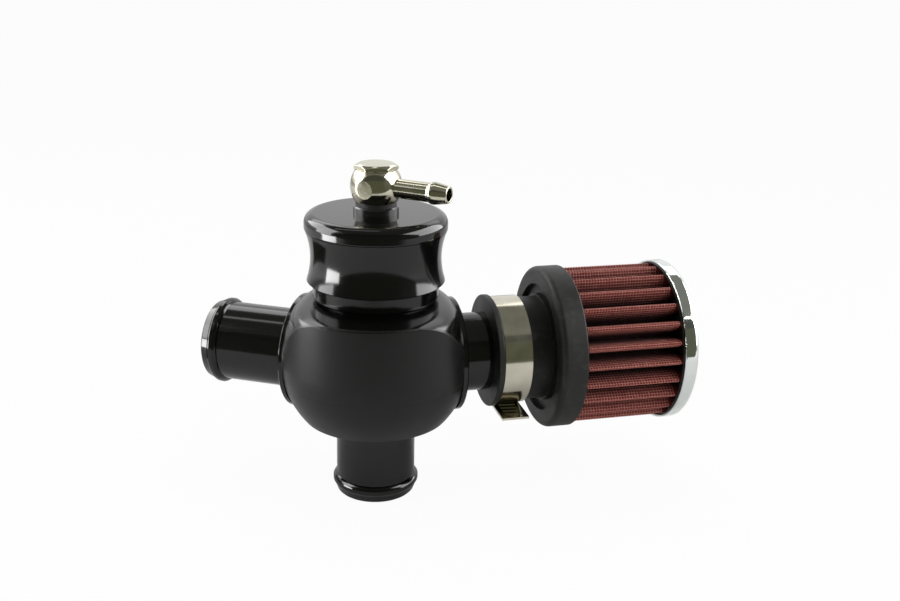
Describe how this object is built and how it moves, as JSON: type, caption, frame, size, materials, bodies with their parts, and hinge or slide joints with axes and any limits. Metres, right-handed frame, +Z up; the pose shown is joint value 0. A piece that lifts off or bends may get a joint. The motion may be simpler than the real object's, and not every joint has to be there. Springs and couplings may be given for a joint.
{
  "type": "blow off valve",
  "caption": "Dual port blow off valve: round black body with beaded hose tails, waisted screw cap with swivel hose nipple, and a pleated breather filter clamped on the vent tail.",
  "frame": {"origin": "centre of the inlet mouth, at the lower end of the inlet hose tail", "axes": "+Z up along the valve axis towards the cap, +X towards the vent port and its filter, -Y towards the plain front of the body"},
  "size_m": [0.1572, 0.0804, 0.1066],
  "materials": {
    "anodised": "black anodised, satin gloss",
    "black_ring": "black anodised",
    "seal_rubber": "moulded",
    "piston_metal": "turned",
    "guide_plastic": "machined",
    "spring_steel": "drawn wire",
    "nickel": "bright nickel plate",
    "filter_rubber": "moulded, faint bloom",
    "gauze": "oiled cotton between wire mesh",
    "end_plate": "bright chrome plate",
    "clamp_steel": "rolled stainless strip"
  },
  "bodies": {
    "valve": {"body": "anodised", "inlet_tail": "anodised", "recirc_tail": "anodised", "vent_tail": "anodised", "inlet_o_ring": "seal_rubber", "recirc_o_ring": "seal_rubber", "vent_o_ring": "seal_rubber", "cap_o_ring": "seal_rubber", "spring": "spring_steel", "filter_base": "filter_rubber", "filter_media": "gauze", "filter_core": "spring_steel", "end_ring": "seal_rubber", "end_cap": "end_plate", "clamp_band": "clamp_steel", "clamp_housing": "clamp_steel"},
    "piston": {"piston": "piston_metal", "lower_guide_ring": "guide_plastic", "upper_guide_ring": "guide_plastic", "seat_seal": "seal_rubber"},
    "preload_seat": {"spring_seat": "piston_metal"},
    "cap": {"cap": "anodised", "seat_ring": "black_ring", "swivel_washer": "seal_rubber", "banjo_bolt": "nickel"},
    "swivel": {"swivel": "nickel"},
    "clamp_screw": {"clamp_screw": "clamp_steel"}
  },
  "joints": [
    {"name": "valve_lift", "type": "slide", "parent": "valve", "child": "piston", "axis": [0, 0, 1], "range_m": [0, 0.009], "stiffness_N_per_m": 900, "springref_m": -0.012, "deforming": ["spring"]},
    {"name": "preload", "type": "slide", "parent": "valve", "child": "preload_seat", "axis": [0, 0, 1], "range_m": [-0.00038, 0.003], "deforming": ["spring"]},
    {"name": "cap_turn", "type": "hinge", "parent": "preload_seat", "child": "cap", "pos_m": [0, 0, 0.065], "axis": [0, 0, 1], "range_deg": [-92, 722]},
    {"name": "nipple_swivel", "type": "hinge", "parent": "cap", "child": "swivel", "pos_m": [0, 0, 0.0998], "axis": [0, 0, 1], "continuous": true},
    {"name": "clamp_screw_turn", "type": "hinge", "parent": "valve", "child": "clamp_screw", "pos_m": [0.04047, 0.01085, 0.02465], "axis": [0.2588, -0.9659, 0], "continuous": true}
  ],
  "couplings": [
    {"joint": "cap_turn", "follows": "preload", "rad_per_m": 4188.8}
  ]
}
